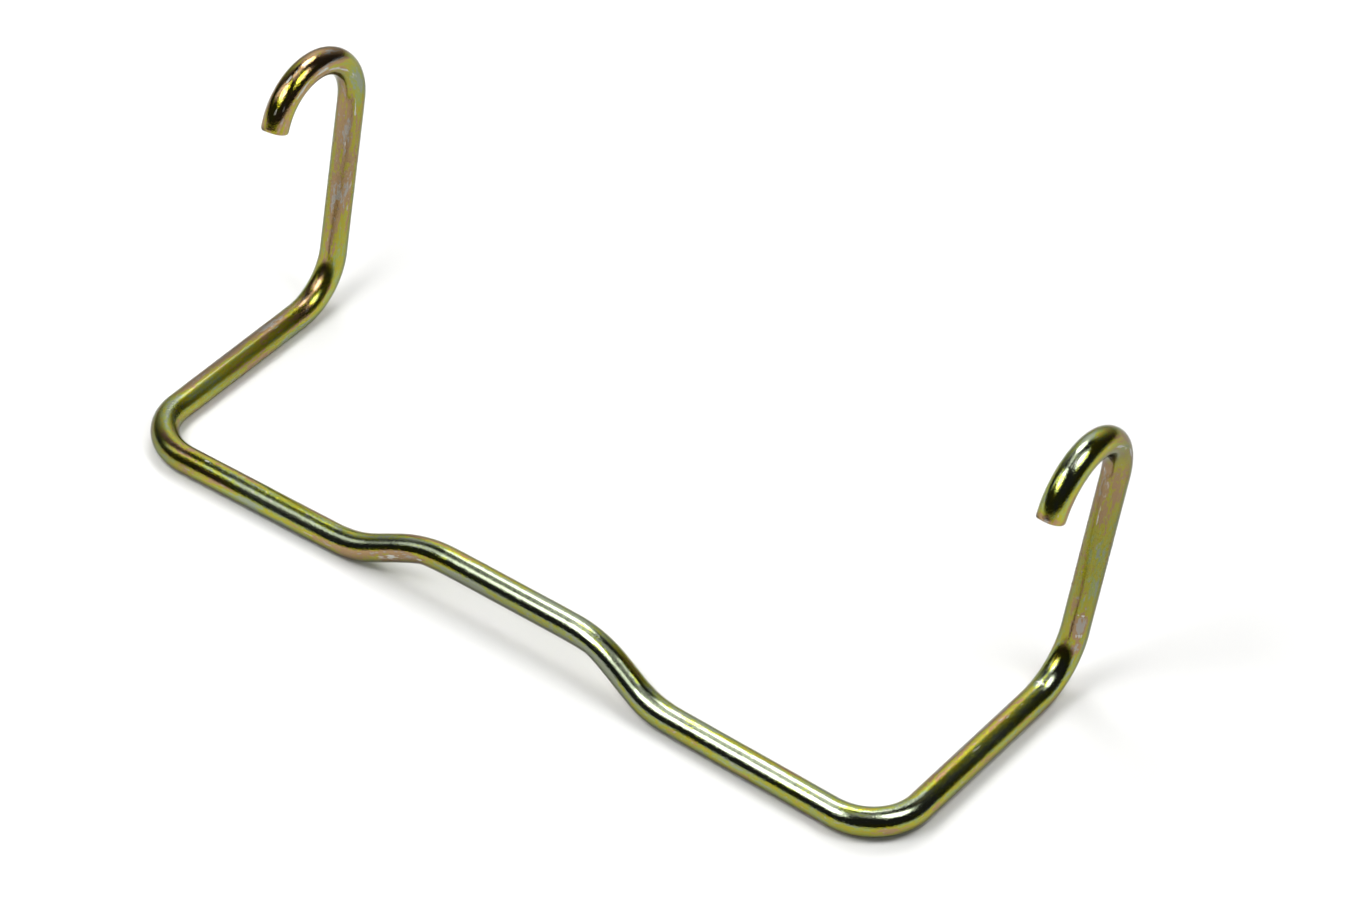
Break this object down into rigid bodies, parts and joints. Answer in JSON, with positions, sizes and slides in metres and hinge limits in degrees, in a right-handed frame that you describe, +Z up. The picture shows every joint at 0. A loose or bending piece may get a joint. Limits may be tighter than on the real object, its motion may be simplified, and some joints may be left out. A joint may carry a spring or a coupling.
{
  "type": "bent wire form",
  "caption": "Bail bent from round spring wire: a front bar with a raised hump, arms running back from its ends, and uprights that finish in open hooks curled forward over the arms.",
  "frame": {"origin": "middle of the footprint on the surface that the front bar and the arms lie on", "axes": "+X along the front bar, +Y from the front bar back along the arms, +Z up along the uprights"},
  "size_m": [0.1612, 0.062, 0.0545],
  "materials": {
    "plated_wire": "glossy zinc plate with yellow chromate, olive gold with a faint green and pink cast"
  },
  "bodies": {
    "root": {"wire_form": "plated_wire"}
  },
  "joints": []
}
